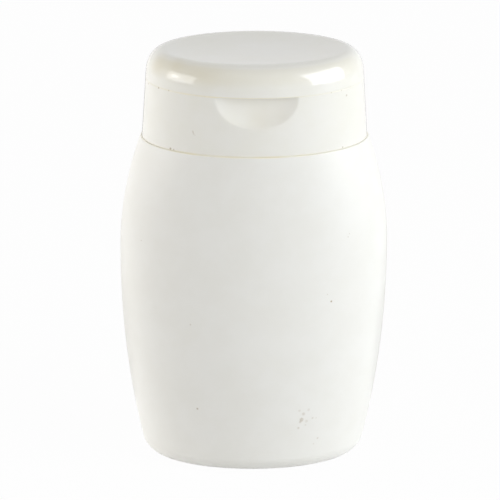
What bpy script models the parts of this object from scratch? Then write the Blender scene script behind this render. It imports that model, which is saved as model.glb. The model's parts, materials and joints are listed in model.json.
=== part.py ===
"""Oval lotion bottle with a press-on flip-top closure, at its real size.

Metres, +Z up, the origin on the floor under the bottle's middle, the front
with the thumb recess towards -Y and the closure's hinge towards +Y. Most
pieces are turned forms with oval sections: a list of rings, each an ellipse
of its own half width and half depth at its own height, joined in order.
"""

import math

import bmesh
import bpy
from mathutils import Matrix, Vector

MM = 0.001

# Bottle, outside
BODY_WIDTH = 60.0 * MM
BODY_DEPTH = 36.4 * MM
WIDEST_HEIGHT = 49.5 * MM
DEEPEST_HEIGHT = 32.0 * MM
SHOULDER_HEIGHT = 75.35 * MM
FOOT_WIDTH = 47.9 * MM
FOOT_DEPTH = 31.6 * MM
HEEL_RADIUS = 3.8 * MM
FOOT_LAND = 2.4 * MM
PUSH_UP = 1.8 * MM
SHOULDER_CURVE = 2.0
FOOT_CURVE = 2.1
DEPTH_CURVE = 2.0

# Bottle, walls, locating boss and neck
BODY_WALL = 1.0 * MM
BASE_WALL = 1.4 * MM
LEDGE_STEP = 0.3 * MM
BOSS_HEIGHT = 2.0 * MM
NECK_WALL = 1.4 * MM
NECK_ROOT = 0.6 * MM
NECK_LEAD = 2.6 * MM
BEAD_STAND = 0.8 * MM
BEAD_HEIGHT = 1.6 * MM

# Closure base
CAP_WIDTH = 50.4 * MM
CAP_DEPTH = 31.8 * MM
SKIRT_HEIGHT = 13.35 * MM
SIDE_DRAFT = 0.8 * MM
FRONT_DRAFT = 0.1 * MM
SKIRT_WALL = 1.3 * MM
DECK_WALL = 1.2 * MM
PLATEAU_RISE = 1.0 * MM
PLATEAU_BEAD = 0.15 * MM
SPOUT_FLARE = 1.6 * MM
SPOUT_LIP = 0.9 * MM
ORIFICE_RADIUS = 3.1 * MM
COLLAR_WALL = 1.2 * MM
COLLAR_LEAD = 1.2 * MM
SNAP_RING_HEIGHT = 1.2 * MM
SNAP_RING_STAND = 0.6 * MM
SEAL_WALL = 1.0 * MM
SEAL_LENGTH = 3.2 * MM
RIB_THICKNESS = 1.0 * MM

# Thumb recess in the front of the closure base
RECESS_WIDTH = 19.4 * MM
RECESS_HEIGHT = 6.2 * MM
RECESS_DEPTH = 2.6 * MM
RECESS_LEAD = 2.4 * MM

# Lid
LID_HEIGHT = 6.5 * MM
LID_STRAIGHT = 1.4 * MM
LID_DRAFT = 0.1 * MM
LID_WALL = 1.3 * MM
RIM_INSET = 4.0 * MM
DISH_DEPTH = 1.5 * MM
LIP_OVERHANG = 0.2 * MM
PLUG_ENTRY = 1.8 * MM
SPOUT_RING_WALL = 0.8 * MM

# Snap hinge: two bending films on the axis, and a spring band inboard of it
FLAT_INSET = 1.0 * MM
FLAT_DROP = 7.2 * MM
FLAT_BACKING = 1.05 * MM
GROOVE_HEIGHT = 3.0 * MM
FILM_THICKNESS = 0.3 * MM
FILM_WIDTH = 3.8 * MM
FILM_SPACING = 0.7 * MM
BAND_LENGTH = 6.0 * MM
BAND_WIDTH = 5.0 * MM
BAND_THICKNESS = 0.6 * MM
POCKET_WALL = 1.0 * MM
OPEN_ANGLE = math.radians(120.0)

# Clearances
SEAT_GAP = 0.3 * MM
FILM_GAP = 0.1 * MM
SNAP_GAP = 0.2 * MM
SEAL_GAP = 0.15 * MM
PLUG_GAP = 0.2 * MM
SPOUT_GAP = 0.7 * MM
COLLAR_GAP = 0.8 * MM
OVERRUN = 1.0 * MM

# Shares, outward from the middle or up from the low end, of the forms that they shape
PUSH_UP_SHARES = ((0.25, 1.0), (0.7, 1.0), (0.92, 0.5))
FLOOR_SHARES = (0.85, 0.25)
DOME_SHARES = (0.0, 0.12, 0.4, 0.7, 1.0)
DISH_SHARES = (0.2, 0.5, 0.75, 0.92)
PLUG_TIP_SHARE = 0.75
PLUG_CHAMFER_SHARE = 0.2
EDGE_SHARE = 1.0 / 6.0

# Fineness of the faceted forms
SEGMENTS = 56
OUTER_STEPS = 14
INNER_STEPS = 8
ROUND_STEPS = 4
SCOOP_SEGMENTS = 40
SMOOTH_ANGLE = math.radians(35.0)

# Plastics
BOTTLE_COLOUR = (0.84, 0.84, 0.82)
BOTTLE_ROUGHNESS = 0.38
CLOSURE_COLOUR = (0.85, 0.84, 0.80)
CLOSURE_ROUGHNESS = 0.18

# Heights that the sizes above settle, from the closure and the lid down to the neck
SKIRT_BOTTOM = SHOULDER_HEIGHT + SEAT_GAP
SKIRT_TOP = SKIRT_BOTTOM + SKIRT_HEIGHT
PLATEAU_TOP = SKIRT_TOP + PLATEAU_RISE
RIM_UNDERSIDE = SKIRT_TOP - DECK_WALL
DECK_UNDERSIDE = PLATEAU_TOP - DECK_WALL
LID_BOTTOM = SKIRT_TOP + SEAT_GAP
LID_TOP = LID_BOTTOM + LID_HEIGHT
DISH_FLOOR = LID_TOP - DISH_DEPTH
ROOF_UNDERSIDE = DISH_FLOOR - LID_WALL
SPOUT_TOP = ROOF_UNDERSIDE - SPOUT_GAP
NECK_TOP = DECK_UNDERSIDE - SEAT_GAP
BEAD_BOTTOM = NECK_TOP - NECK_LEAD - BEAD_HEIGHT
SNAP_RING_TOP = BEAD_BOTTOM - SEAT_GAP
COLLAR_BOTTOM = SNAP_RING_TOP - SNAP_RING_HEIGHT - COLLAR_LEAD
ROOT_TOP = COLLAR_BOTTOM - COLLAR_GAP
DOME_TOP = ROOT_TOP - NECK_ROOT
BOSS_TOP = SHOULDER_HEIGHT + BOSS_HEIGHT

# Hinge places: the axis lies in the middle of the films and of the lid seam
SEAM_HALF_WIDTH = CAP_WIDTH / 2 - SIDE_DRAFT
SEAM_HALF_DEPTH = CAP_DEPTH / 2 - FRONT_DRAFT
FLAT_Y = SEAM_HALF_DEPTH - FLAT_INSET
GROOVE_FLOOR_Y = FLAT_Y - FILM_THICKNESS - FILM_GAP
PAD_INNER_Y = GROOVE_FLOOR_Y - FLAT_BACKING
AXIS_Y = FLAT_Y - FILM_THICKNESS / 2
AXIS_Z = (SKIRT_TOP + LID_BOTTOM) / 2
# The band is slack at both ends of the travel when its offset subtends a quarter of it
BAND_OFFSET = BAND_LENGTH / 2 * math.tan(OPEN_ANGLE / 4)
BAND_Y = AXIS_Y - BAND_OFFSET
BAND_BOTTOM = AXIS_Z - BAND_LENGTH / 2
BAND_TOP = AXIS_Z + BAND_LENGTH / 2
WINDOW_HALF_WIDTH = BAND_WIDTH / 2 + SEAT_GAP
WINDOW_INNER_Y = BAND_Y - BAND_THICKNESS / 2 - SEAT_GAP
WINDOW_BOTTOM = BAND_BOTTOM - BAND_THICKNESS / 2 - FILM_GAP
WINDOW_TOP = BAND_TOP + BAND_THICKNESS / 2 + FILM_GAP
FILM_OFFSET = WINDOW_HALF_WIDTH + FILM_SPACING + FILM_WIDTH / 2

# Radii that the hinge leaves room for, from the collar in to the neck
COLLAR_RADIUS = WINDOW_INNER_Y
SOCKET_RADIUS = COLLAR_RADIUS - COLLAR_WALL
SNAP_RING_RADIUS = SOCKET_RADIUS - SNAP_RING_STAND
BEAD_RADIUS = SOCKET_RADIUS - SNAP_GAP
NECK_RADIUS = BEAD_RADIUS - BEAD_STAND
NECK_BORE_RADIUS = NECK_RADIUS - NECK_WALL
SEAL_RADIUS = NECK_BORE_RADIUS - SEAL_GAP
SEAL_BORE_RADIUS = SEAL_RADIUS - SEAL_WALL
SPOUT_RADIUS = ORIFICE_RADIUS + SPOUT_LIP
SPOUT_FOOT_RADIUS = SPOUT_RADIUS + SPOUT_FLARE
SPOUT_RING_RADIUS = SPOUT_FOOT_RADIUS + SPOUT_GAP

# Front face of the plateau, and the lip pad of the lid in front of it
LIP_PAD_Y = -(SEAM_HALF_DEPTH - RECESS_DEPTH - LIP_OVERHANG)
PLATEAU_FRONT_Y = LIP_PAD_Y + SEAT_GAP
PLATEAU_INSET = LID_WALL + SEAT_GAP

# Broken edges along the two seams
SKIRT_EDGE = SKIRT_WALL * EDGE_SHARE
LID_EDGE = LID_WALL * EDGE_SHARE


def clear_scene():
    for obj in list(bpy.data.objects):
        bpy.data.objects.remove(obj, do_unlink=True)


def plastic(name, colour, roughness):
    """A moulded plastic."""
    material = bpy.data.materials.new(name)
    material.use_nodes = True
    shader = material.node_tree.nodes["Principled BSDF"]
    shader.inputs["Base Color"].default_value = (*colour, 1.0)
    shader.inputs["Roughness"].default_value = roughness
    shader.inputs["Metallic"].default_value = 0.0
    return material


def add_object(name, shape, material, origin=(0.0, 0.0, 0.0)):
    """Puts the finished bmesh in the scene, with its object's origin where a joint needs it."""
    mesh = bpy.data.meshes.new(name)
    bmesh.ops.translate(shape, verts=shape.verts, vec=-Vector(origin))
    shape.to_mesh(mesh)
    shape.free()
    mesh.shade_smooth()
    mesh.set_sharp_from_angle(angle=SMOOTH_ANGLE)
    obj = bpy.data.objects.new(name, mesh)
    obj.location = origin
    bpy.context.scene.collection.objects.link(obj)
    if material:
        mesh.materials.append(material)
    return obj


def add_helper(name, shape):
    """A cutter or a core: it shapes other pieces and isn't one itself."""
    obj = add_object(name, shape, None)
    obj.hide_render = True
    obj.display_type = "WIRE"
    return obj


def boolean(obj, other, operation):
    modifier = obj.modifiers.new(f"{operation.lower()} {other.name}", "BOOLEAN")
    modifier.object = other
    modifier.operation = operation
    modifier.solver = "EXACT"


def turned(rings, is_loop=False):
    """Joins oval rings, each (half width, half depth, height), into one closed surface.

    They run outward along an underside, then up the outside and back inward.
    A loop also joins its last ring to its first; otherwise both ends are capped.
    """
    shape = bmesh.new()
    turns = [2 * math.pi * k / SEGMENTS for k in range(SEGMENTS)]
    loops = [
        [shape.verts.new((a * math.cos(t), b * math.sin(t), z)) for t in turns]
        for a, b, z in rings
    ]
    pairs = list(zip(loops, loops[1:]))
    if is_loop:
        pairs.append((loops[-1], loops[0]))
    else:
        shape.faces.new(reversed(loops[0]))
        shape.faces.new(loops[-1])
    for lower, upper in pairs:
        for k in range(SEGMENTS):
            after = (k + 1) % SEGMENTS
            shape.faces.new((lower[k], lower[after], upper[after], upper[k]))
    return shape


def box(low, high):
    """A box between two corners."""
    shape = bmesh.new()
    low, high = Vector(low), Vector(high)
    bmesh.ops.create_cube(shape, size=1.0)
    bmesh.ops.scale(shape, verts=shape.verts, vec=high - low)
    bmesh.ops.translate(shape, verts=shape.verts, vec=(low + high) / 2)
    return shape


def ellipsoid(centre, radii):
    shape = bmesh.new()
    bmesh.ops.create_uvsphere(
        shape,
        u_segments=SCOOP_SEGMENTS,
        v_segments=SCOOP_SEGMENTS // 2,
        radius=1.0,
        matrix=Matrix.Translation(centre) @ Matrix.Diagonal((*radii, 1.0)),
    )
    return shape


def circle(radius, height):
    return (radius, radius, height)


def quarter_turns(steps):
    """Angles from 0 to a quarter turn."""
    return [math.pi / 2 * k / steps for k in range(steps + 1)]


# Outline of the bottle


def bulge(height, low_end, widest, high_end, peak, curves):
    """A half size that swells from low_end at the floor to widest at the peak, and shrinks to
    high_end at the shoulder.
    """
    foot_curve, shoulder_curve = curves
    if height < peak:
        share, end, curve = (peak - height) / peak, low_end, foot_curve
    else:
        share = (height - peak) / (SHOULDER_HEIGHT - peak)
        end, curve = high_end, shoulder_curve
    return widest - (widest - end) * share**curve


def body_half_sizes(height):
    """Half width and half depth of the bottle's outside."""
    half_width = bulge(
        height,
        FOOT_WIDTH / 2,
        BODY_WIDTH / 2,
        CAP_WIDTH / 2 + LEDGE_STEP,
        WIDEST_HEIGHT,
        (FOOT_CURVE, SHOULDER_CURVE),
    )
    half_depth = bulge(
        height,
        FOOT_DEPTH / 2,
        BODY_DEPTH / 2,
        CAP_DEPTH / 2 + LEDGE_STEP,
        DEEPEST_HEIGHT,
        (DEPTH_CURVE, DEPTH_CURVE),
    )
    return half_width, half_depth


def body_ring(height, inset):
    half_width, half_depth = body_half_sizes(height)
    return (half_width - inset, half_depth - inset, height)


def heel_rings():
    """Quarter round that eases the side wall into the flat foot."""
    return [
        body_ring(HEEL_RADIUS * (1 - math.cos(turn)), HEEL_RADIUS * (1 - math.sin(turn)))
        for turn in quarter_turns(ROUND_STEPS + 1)
    ]


def land_half_sizes():
    """Inner edge of the flat ring that the bottle stands on."""
    half_width, half_depth, _ = body_ring(0.0, HEEL_RADIUS + FOOT_LAND)
    return half_width, half_depth


def foot_rings():
    """The push-up in the underside, from near its middle out to the flat ring."""
    half_width, half_depth = land_half_sizes()
    rings = [
        (out_share * half_width, out_share * half_depth, rise_share * PUSH_UP)
        for out_share, rise_share in PUSH_UP_SHARES
    ]
    rings.append((half_width, half_depth, 0.0))
    return rings


def floor_rings():
    """Inside of the foot, from the side wall in to near the middle of the floor."""
    radius = HEEL_RADIUS - BODY_WALL
    rings = [
        body_ring(
            BASE_WALL + radius * (1 - math.cos(turn)),
            BODY_WALL + radius * (1 - math.sin(turn)),
        )
        for turn in reversed(quarter_turns(ROUND_STEPS - 1))
    ]
    half_width, half_depth = land_half_sizes()
    for share in FLOOR_SHARES:
        rings.append((share * half_width, share * half_depth, PUSH_UP + BASE_WALL))
    return rings


def barrel_heights(low, high, steps):
    return [low + (high - low) * k / steps for k in range(1, steps)]


def boss_ring(height, inset=0.0):
    """The oval boss that stands inside the closure's skirt and stops it turning."""
    return cap_ring(height, SKIRT_WALL + SEAT_GAP + inset)


def dome_rings(inset):
    """From the boss's edge to the neck's root, its oval turning into a circle."""
    boss_width, boss_depth, _ = boss_ring(BOSS_TOP)
    root = NECK_RADIUS + NECK_ROOT
    return [
        (
            boss_width + (root - boss_width) * share - inset,
            boss_depth + (root - boss_depth) * share - inset,
            BOSS_TOP + (DOME_TOP - BOSS_TOP) * math.sin(math.pi / 2 * share) - inset,
        )
        for share in DOME_SHARES
    ]


def neck_rings():
    """Neck outside, with the snap bead that holds the closure down, and its bore."""
    return [
        circle(NECK_RADIUS, ROOT_TOP),
        circle(NECK_RADIUS, BEAD_BOTTOM),
        circle(BEAD_RADIUS, BEAD_BOTTOM + BEAD_STAND / 4),
        circle(BEAD_RADIUS, BEAD_BOTTOM + BEAD_HEIGHT / 2),
        circle(NECK_RADIUS, BEAD_BOTTOM + BEAD_HEIGHT),
        circle(NECK_RADIUS, NECK_TOP - NECK_WALL / 4),
        circle(NECK_RADIUS - NECK_WALL / 4, NECK_TOP),
        circle(NECK_BORE_RADIUS, NECK_TOP),
        circle(NECK_BORE_RADIUS, DOME_TOP),
    ]


def bottle_rings():
    outside = [body_ring(z, 0.0) for z in barrel_heights(HEEL_RADIUS, SHOULDER_HEIGHT, OUTER_STEPS)]
    inner_low = BASE_WALL + HEEL_RADIUS - BODY_WALL
    inner_high = SHOULDER_HEIGHT - 2 * BODY_WALL
    inside = [body_ring(z, BODY_WALL) for z in barrel_heights(inner_low, inner_high, INNER_STEPS)]
    return (
        foot_rings()
        + heel_rings()
        + outside
        + [body_ring(SHOULDER_HEIGHT, 0.0), boss_ring(SHOULDER_HEIGHT)]
        + dome_rings(0.0)
        + neck_rings()
        + list(reversed(dome_rings(BODY_WALL)))
        + [boss_ring(SHOULDER_HEIGHT - BODY_WALL / 2, BODY_WALL), body_ring(inner_high, BODY_WALL)]
        + list(reversed(inside))
        + floor_rings()
    )


def make_bottle(material):
    return add_object("bottle_body", turned(bottle_rings()), material)


# Closure base


def cap_half_sizes(height, inset=0.0):
    """Half width and half depth of the closure's outside below the lid seam."""
    share = (height - SKIRT_BOTTOM) / (SKIRT_TOP - SKIRT_BOTTOM)
    half_width = CAP_WIDTH / 2 - SIDE_DRAFT * share - inset
    half_depth = CAP_DEPTH / 2 - FRONT_DRAFT * share - inset
    return half_width, half_depth


def cap_ring(height, inset=0.0):
    return (*cap_half_sizes(height, inset), height)


def seam_ring(inset, height):
    """A ring set in from the closure's outline at the lid seam."""
    return (SEAM_HALF_WIDTH - inset, SEAM_HALF_DEPTH - inset, height)


def closure_rings():
    """Underside from the orifice out to the skirt, then up the outside and back over the deck."""
    rim_inset = PLATEAU_INSET + DECK_WALL
    seal_bottom = DECK_UNDERSIDE - SEAL_LENGTH
    seal_chamfer = SEAL_WALL / 2
    bead_height = SKIRT_TOP + PLATEAU_RISE / 2
    return [
        circle(ORIFICE_RADIUS, DECK_UNDERSIDE),
        circle(SEAL_BORE_RADIUS, DECK_UNDERSIDE),
        circle(SEAL_BORE_RADIUS, seal_bottom),
        circle(SEAL_RADIUS - seal_chamfer, seal_bottom),
        circle(SEAL_RADIUS, seal_bottom + seal_chamfer),
        circle(SEAL_RADIUS, DECK_UNDERSIDE),
        circle(SOCKET_RADIUS, DECK_UNDERSIDE),
        circle(SOCKET_RADIUS, SNAP_RING_TOP),
        circle(SNAP_RING_RADIUS, SNAP_RING_TOP - SNAP_RING_HEIGHT / 4),
        circle(SNAP_RING_RADIUS, SNAP_RING_TOP - SNAP_RING_HEIGHT),
        circle(SOCKET_RADIUS, COLLAR_BOTTOM),
        circle(COLLAR_RADIUS, COLLAR_BOTTOM),
        circle(COLLAR_RADIUS, DECK_UNDERSIDE),
        seam_ring(rim_inset, DECK_UNDERSIDE),
        seam_ring(rim_inset, RIM_UNDERSIDE),
        cap_ring(RIM_UNDERSIDE, SKIRT_WALL),
        cap_ring(SKIRT_BOTTOM, SKIRT_WALL),
        cap_ring(SKIRT_BOTTOM, SKIRT_EDGE),
        cap_ring(SKIRT_BOTTOM + SKIRT_EDGE),
        cap_ring(SKIRT_TOP - SKIRT_EDGE),
        cap_ring(SKIRT_TOP, SKIRT_EDGE),
        seam_ring(PLATEAU_INSET, SKIRT_TOP),
        seam_ring(PLATEAU_INSET - PLATEAU_BEAD, bead_height),
        seam_ring(PLATEAU_INSET, PLATEAU_TOP),
        circle(SPOUT_FOOT_RADIUS, PLATEAU_TOP),
        *spout_rings(),
        circle(ORIFICE_RADIUS, SPOUT_TOP),
    ]


def spout_rings():
    """Outside of the spout: a hollow flare up from the deck, then a rounded lip."""
    lip = SPOUT_LIP / 3
    rise = SPOUT_TOP - PLATEAU_TOP - lip
    rings = [
        circle(
            SPOUT_FOOT_RADIUS - SPOUT_FLARE * math.sin(turn),
            PLATEAU_TOP + rise * (1 - math.cos(turn)),
        )
        for turn in quarter_turns(ROUND_STEPS)[1:]
    ]
    rings.append(circle(SPOUT_RADIUS - lip, SPOUT_TOP))
    return rings


def closure_core():
    """The closure base filled out to the middle of its walls; what is added inside is cut to it."""
    half_wall = SKIRT_WALL / 2
    half_deck = DECK_WALL / 2
    rings = [
        cap_ring(SKIRT_BOTTOM + half_wall, half_wall),
        cap_ring(SKIRT_TOP - half_deck, half_wall),
        seam_ring(PLATEAU_INSET + half_deck, SKIRT_TOP - half_deck),
        seam_ring(PLATEAU_INSET + half_deck, PLATEAU_TOP - half_deck),
    ]
    return add_helper("closure_core", turned(rings))


def add_inside(obj, name, shape, core):
    """Joins a block to the inside of a shell, cut off in the middle of the shell's walls."""
    block = add_helper(name, shape)
    boolean(block, core, "INTERSECT")
    boolean(obj, block, "UNION")


def recess_form(wall):
    """The scoop for the thumb, or with a wall the form that backs it.

    Its centre stands in front of the closure, so that it meets the surface at
    a slant, and level with the lid seam, so that it is deepest under the lip.
    """
    reach = RECESS_LEAD + RECESS_DEPTH
    half = RECESS_WIDTH / 2
    sag = SEAM_HALF_DEPTH * (1 - math.sqrt(1 - (half / SEAM_HALF_WIDTH) ** 2))
    radii = (
        half / math.sqrt(1 - ((RECESS_LEAD + sag) / (reach + sag)) ** 2),
        reach,
        RECESS_HEIGHT / math.sqrt(1 - (RECESS_LEAD / reach) ** 2),
    )
    centre = (0.0, -(SEAM_HALF_DEPTH + RECESS_LEAD), SKIRT_TOP)
    return ellipsoid(centre, [radius + wall for radius in radii])


def add_recess(base, core):
    add_inside(base, "recess_backing", recess_form(SKIRT_WALL), core)
    boolean(base, add_helper("recess_cutter", recess_form(0.0)), "DIFFERENCE")


def add_ribs(base, core):
    """Ribs that tie the round collar to the ends of the oval skirt."""
    for name, side in (("rib_left", -1), ("rib_right", 1)):
        near = side * (COLLAR_RADIUS - COLLAR_WALL / 2)
        far = side * CAP_WIDTH / 2
        shape = box(
            (min(near, far), -RIB_THICKNESS / 2, COLLAR_BOTTOM + COLLAR_LEAD),
            (max(near, far), RIB_THICKNESS / 2, PLATEAU_TOP),
        )
        add_inside(base, name, shape, core)


def add_hinge_seat(base, core):
    """Thick wall behind the hinge's flat, and the pocket that the spring band stands in."""
    pad_bottom = AXIS_Z - FLAT_DROP - SKIRT_WALL
    pad = box(
        (-CAP_WIDTH / 2, PAD_INNER_Y, pad_bottom),
        (CAP_WIDTH / 2, CAP_DEPTH / 2, PLATEAU_TOP),
    )
    add_inside(base, "hinge_pad", pad, core)
    half = WINDOW_HALF_WIDTH + POCKET_WALL
    pocket = box(
        (-half, COLLAR_RADIUS - COLLAR_WALL / 2, WINDOW_BOTTOM - POCKET_WALL),
        (half, CAP_DEPTH / 2, PLATEAU_TOP),
    )
    add_inside(base, "band_pocket", pocket, core)


def wide_slab(name, near_y, far_y, low_z, high_z):
    """A cutter as wide as the closure, between two depths and two heights."""
    low = (-CAP_WIDTH / 2, min(near_y, far_y), low_z)
    high = (CAP_WIDTH / 2, max(near_y, far_y), high_z)
    return add_helper(name, box(low, high))


def trim_plateau(base):
    """Cuts the plateau back where the lid's lip pad and hinge pad stand."""
    top = PLATEAU_TOP + OVERRUN
    rear = wide_slab("plateau_rear_cutter", PAD_INNER_Y - SEAT_GAP, CAP_DEPTH, SKIRT_TOP, top)
    front = wide_slab("plateau_front_cutter", PLATEAU_FRONT_Y, -CAP_DEPTH, SKIRT_TOP, top)
    boolean(base, rear, "DIFFERENCE")
    boolean(base, front, "DIFFERENCE")


def hinge_cutters():
    """The flat and the film groove, which run across the lid seam, so both halves take them."""
    flat = wide_slab(
        "hinge_flat_cutter", FLAT_Y, CAP_DEPTH, AXIS_Z - FLAT_DROP, LID_TOP + OVERRUN
    )
    groove = wide_slab(
        "film_groove_cutter",
        GROOVE_FLOOR_Y,
        CAP_DEPTH,
        AXIS_Z - GROOVE_HEIGHT / 2,
        AXIS_Z + GROOVE_HEIGHT / 2,
    )
    return flat, groove


def window_cutter(name, low_z, high_z):
    low = (-WINDOW_HALF_WIDTH, WINDOW_INNER_Y, low_z)
    high = (WINDOW_HALF_WIDTH, CAP_DEPTH, high_z)
    return add_helper(name, box(low, high))


def make_closure_base(material, cutters):
    base = add_object("closure_base", turned(closure_rings(), is_loop=True), material)
    core = closure_core()
    add_ribs(base, core)
    add_hinge_seat(base, core)
    add_recess(base, core)
    trim_plateau(base)
    for cutter in cutters:
        boolean(base, cutter, "DIFFERENCE")
    window = window_cutter("base_window_cutter", WINDOW_BOTTOM, PLATEAU_TOP + OVERRUN)
    boolean(base, window, "DIFFERENCE")
    return base


# Lid


def lid_round(inset):
    """The quarter round of the rim, or with an inset the one inside it, from its crest outward."""
    reach, rise = RIM_INSET - inset, LID_HEIGHT - LID_STRAIGHT - inset
    centre_inset = LID_DRAFT + RIM_INSET
    centre_height = LID_BOTTOM + LID_STRAIGHT
    return [
        seam_ring(
            centre_inset - reach * math.sin(turn), centre_height + rise * math.cos(turn)
        )
        for turn in quarter_turns(ROUND_STEPS + 1)
    ]


def dish_rings(drop):
    """The shallow dish in the lid's top, from near its middle out towards the rim's crest."""
    crest_width, crest_depth, _ = seam_ring(LID_DRAFT + RIM_INSET, LID_TOP)
    return [
        (crest_width * share, crest_depth * share, DISH_FLOOR + DISH_DEPTH * share**2 - drop)
        for share in DISH_SHARES
    ]


def lid_rings():
    return (
        dish_rings(LID_WALL)
        + lid_round(LID_WALL)
        + [
            seam_ring(LID_WALL, LID_BOTTOM),
            seam_ring(LID_EDGE, LID_BOTTOM),
            seam_ring(0.0, LID_BOTTOM + LID_EDGE),
        ]
        + list(reversed(lid_round(0.0)))
        + list(reversed(dish_rings(0.0)))
    )


def lid_core():
    """The lid filled out to the middle of its walls, from just above the seam."""
    half_wall = LID_WALL / 2
    rings = [seam_ring(half_wall, LID_BOTTOM + LID_EDGE)]
    rings += list(reversed(lid_round(half_wall)))
    rings += list(reversed(dish_rings(half_wall)))
    return add_helper("lid_core", turned(rings))


def plug_rings():
    """The tapered pin that closes the orifice."""
    radius = ORIFICE_RADIUS - PLUG_GAP
    narrow = radius * PLUG_TIP_SHARE
    chamfer = radius * PLUG_CHAMFER_SHARE
    tip = SPOUT_TOP - PLUG_ENTRY
    return [
        circle(narrow - chamfer, tip),
        circle(narrow, tip + chamfer),
        circle(radius, SPOUT_TOP - chamfer),
        circle(radius, ROOF_UNDERSIDE + LID_WALL / 2),
    ]


def spout_ring_rings():
    """The ring under the lid's roof that stands round the upper half of the spout."""
    outer = SPOUT_RING_RADIUS + SPOUT_RING_WALL
    low = (PLATEAU_TOP + SPOUT_TOP) / 2
    high = ROOF_UNDERSIDE + LID_WALL / 2
    return [
        circle(SPOUT_RING_RADIUS, high),
        circle(SPOUT_RING_RADIUS, low),
        circle(outer, low),
        circle(outer, high),
    ]


def make_lid(material, cutters):
    lid = add_object("lid", turned(lid_rings()), material, (0.0, AXIS_Y, AXIS_Z))
    core = lid_core()
    half_width, half_depth = CAP_WIDTH / 2, CAP_DEPTH / 2
    lip_pad = box((-half_width, -half_depth, LID_BOTTOM), (half_width, LIP_PAD_Y, LID_TOP))
    add_inside(lid, "lip_pad", lip_pad, core)
    hinge_pad = box((-half_width, PAD_INNER_Y, LID_BOTTOM), (half_width, half_depth, LID_TOP))
    add_inside(lid, "lid_hinge_pad", hinge_pad, core)
    half = WINDOW_HALF_WIDTH + POCKET_WALL
    lug = box((-half, WINDOW_INNER_Y, WINDOW_TOP - OVERRUN), (half, CAP_DEPTH / 2, LID_TOP))
    add_inside(lid, "band_lug", lug, core)
    boolean(lid, add_helper("plug", turned(plug_rings())), "UNION")
    boolean(lid, add_helper("spout_ring", turned(spout_ring_rings(), is_loop=True)), "UNION")
    for cutter in cutters:
        boolean(lid, cutter, "DIFFERENCE")
    window = window_cutter("lid_window_cutter", LID_BOTTOM - OVERRUN, WINDOW_TOP)
    boolean(lid, window, "DIFFERENCE")
    return lid


# Hinge


def make_films(material):
    """The two films that bend at the axis; each lies in the groove across the lid seam."""
    half_height = GROOVE_HEIGHT / 2 - FILM_GAP
    for name, side in (("hinge_film_left", -1), ("hinge_film_right", 1)):
        middle = side * FILM_OFFSET
        shape = box(
            (middle - FILM_WIDTH / 2, FLAT_Y - FILM_THICKNESS, AXIS_Z - half_height),
            (middle + FILM_WIDTH / 2, FLAT_Y, AXIS_Z + half_height),
        )
        add_object(name, shape, material, (middle, AXIS_Y, AXIS_Z))


def make_spring_band(material):
    """The band that snaps the lid open and shut; it swings about its lower end."""
    shape = box(
        (-BAND_WIDTH / 2, BAND_Y - BAND_THICKNESS / 2, BAND_BOTTOM),
        (BAND_WIDTH / 2, BAND_Y + BAND_THICKNESS / 2, BAND_TOP),
    )
    add_object("hinge_spring_band", shape, material, (0.0, BAND_Y, BAND_BOTTOM))


def main():
    clear_scene()
    bottle_plastic = plastic("satin white polyethylene", BOTTLE_COLOUR, BOTTLE_ROUGHNESS)
    closure_plastic = plastic("gloss white polypropylene", CLOSURE_COLOUR, CLOSURE_ROUGHNESS)
    make_bottle(bottle_plastic)
    cutters = hinge_cutters()
    make_closure_base(closure_plastic, cutters)
    make_lid(closure_plastic, cutters)
    make_films(closure_plastic)
    make_spring_band(closure_plastic)


main()
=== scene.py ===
"""Looks of the oval lotion bottle with its flip-top closure.

Metres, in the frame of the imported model: +Z up, the front with the thumb
recess towards -Y, the hinge towards +Y.
"""

import json
import math

import bpy
import numpy as np
from mathutils import Matrix, Vector


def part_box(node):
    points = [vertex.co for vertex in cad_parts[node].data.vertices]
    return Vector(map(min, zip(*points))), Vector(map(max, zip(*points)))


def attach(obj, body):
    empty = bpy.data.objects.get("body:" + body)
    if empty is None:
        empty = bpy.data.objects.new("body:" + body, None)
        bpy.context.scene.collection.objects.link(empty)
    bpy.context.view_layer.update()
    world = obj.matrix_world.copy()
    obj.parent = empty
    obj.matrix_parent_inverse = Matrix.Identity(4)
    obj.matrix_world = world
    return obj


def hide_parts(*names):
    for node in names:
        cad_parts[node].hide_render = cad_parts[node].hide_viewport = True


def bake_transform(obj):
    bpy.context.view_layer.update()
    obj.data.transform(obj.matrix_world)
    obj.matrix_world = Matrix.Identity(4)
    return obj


MM = 0.001

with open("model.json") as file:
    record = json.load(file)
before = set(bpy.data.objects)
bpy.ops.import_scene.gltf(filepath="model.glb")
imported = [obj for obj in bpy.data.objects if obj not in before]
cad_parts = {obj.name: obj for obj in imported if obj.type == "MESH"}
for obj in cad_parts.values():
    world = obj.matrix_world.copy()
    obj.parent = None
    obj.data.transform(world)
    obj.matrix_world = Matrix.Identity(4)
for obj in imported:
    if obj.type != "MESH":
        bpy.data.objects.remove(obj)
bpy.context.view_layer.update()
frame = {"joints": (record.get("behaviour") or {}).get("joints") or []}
JOINTS = {joint["name"]: joint for joint in frame["joints"]}

# Bottle, outside
FOOT_WIDTH = 47.9 * MM
FOOT_DEPTH = 31.6 * MM
WIDEST_HEIGHT = 49.5 * MM
DEEPEST_HEIGHT = 32.0 * MM
SHOULDER_CURVE = 2.0
FOOT_CURVE = 2.1
DEPTH_CURVE = 2.0
HEEL_RADIUS = 3.8 * MM
FOOT_LAND = 2.4 * MM
PUSH_UP = 1.8 * MM
PUSH_UP_CURVE = 2.2
LEDGE_STEP = 0.3 * MM
SHOULDER_ROUND = 0.22 * MM

# Bottle, marks of the blow mould
PARTING_RISE = 0.035 * MM
PARTING_WIDTH = 0.16 * MM
PINCH_RISE = 0.35 * MM
PINCH_WIDTH = 0.7 * MM
PINCH_LENGTH = 30.0 * MM

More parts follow.
